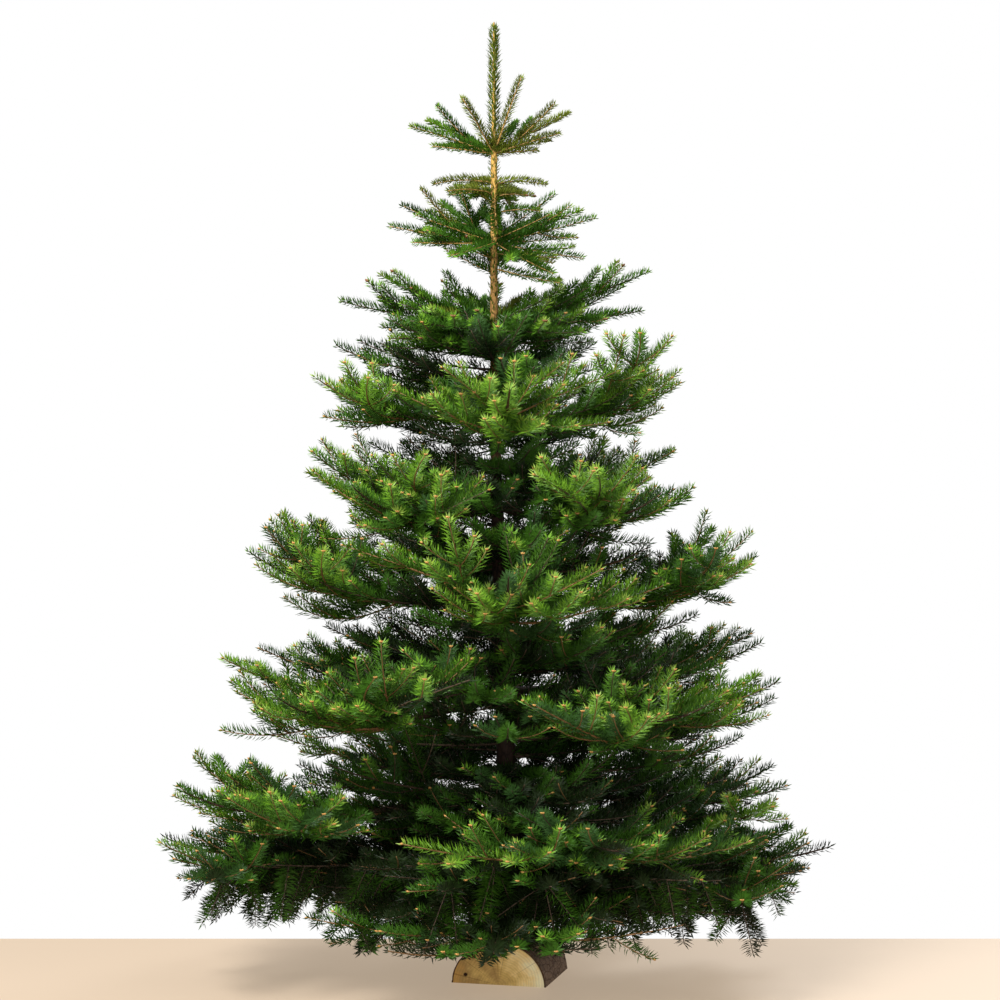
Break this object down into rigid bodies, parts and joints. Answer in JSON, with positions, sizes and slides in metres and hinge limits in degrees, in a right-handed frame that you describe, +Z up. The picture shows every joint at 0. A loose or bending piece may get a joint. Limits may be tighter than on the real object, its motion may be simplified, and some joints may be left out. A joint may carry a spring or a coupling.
{
  "type": "christmas tree",
  "caption": "Cut spruce Christmas tree without decorations: tapering trunk, whorls of boughs with needled foliage, set in a half-log foot that stands on its flat side.",
  "frame": {"origin": "centre of the half-log foot's flat underside, on the floor", "axes": "+Z up the tree, -Y the front, where the foot shows its end grain, +X to the right seen from the front"},
  "size_m": [1.2241, 1.1026, 1.75],
  "materials": {
    "split_log": "matte",
    "trunk_bark": "matte",
    "bough_bark": "matte",
    "needles": "satin"
  },
  "bodies": {
    "root": {"bough_tier_1_back": "bough_bark", "bough_tier_1_front": "bough_bark", "bough_tier_1_left": "bough_bark", "bough_tier_1_right": "bough_bark", "bough_tier_2_back_left": "bough_bark", "bough_tier_2_back_right": "bough_bark", "bough_tier_2_front_left": "bough_bark", "bough_tier_2_front_right": "bough_bark", "bough_tier_3_back": "bough_bark", "bough_tier_3_front": "bough_bark", "bough_tier_3_left": "bough_bark", "bough_tier_3_right": "bough_bark", "bough_tier_4_back_left": "bough_bark", "bough_tier_4_back_right": "bough_bark", "bough_tier_4_front_left": "bough_bark", "bough_tier_4_front_right": "bough_bark", "bough_tier_5_back": "bough_bark", "bough_tier_5_front": "bough_bark", "bough_tier_5_left": "bough_bark", "bough_tier_5_right": "bough_bark", "bough_tier_6_back": "bough_bark", "bough_tier_6_front": "bough_bark", "bough_tier_6_left": "bough_bark", "bough_tier_6_right": "bough_bark", "foliage_leader": "needles", "foliage_tier_1_back": "needles", "foliage_tier_1_front": "needles", "foliage_tier_1_left": "needles", "foliage_tier_1_right": "needles", "foliage_tier_2_back_left": "needles", "foliage_tier_2_back_right": "needles", "foliage_tier_2_front_left": "needles", "foliage_tier_2_front_right": "needles", "foliage_tier_3_back": "needles", "foliage_tier_3_front": "needles", "foliage_tier_3_left": "needles", "foliage_tier_3_right": "needles", "foliage_tier_4_back_left": "needles", "foliage_tier_4_back_right": "needles", "foliage_tier_4_front_left": "needles", "foliage_tier_4_front_right": "needles", "foliage_tier_5_back": "needles", "foliage_tier_5_front": "needles", "foliage_tier_5_left": "needles", "foliage_tier_5_right": "needles", "foliage_tier_6_back": "needles", "foliage_tier_6_front": "needles", "foliage_tier_6_left": "needles", "foliage_tier_6_right": "needles", "foliage_whorl_1_left": "needles", "foliage_whorl_1_right": "needles", "foliage_whorl_2_left": "needles", "foliage_whorl_2_right": "needles", "foliage_whorl_3_left": "needles", "foliage_whorl_3_right": "needles", "foliage_whorl_4_back": "needles", "foliage_whorl_4_left": "needles", "foliage_whorl_4_right": "needles", "half_log_stand": "split_log", "trunk": "trunk_bark"}
  },
  "joints": []
}
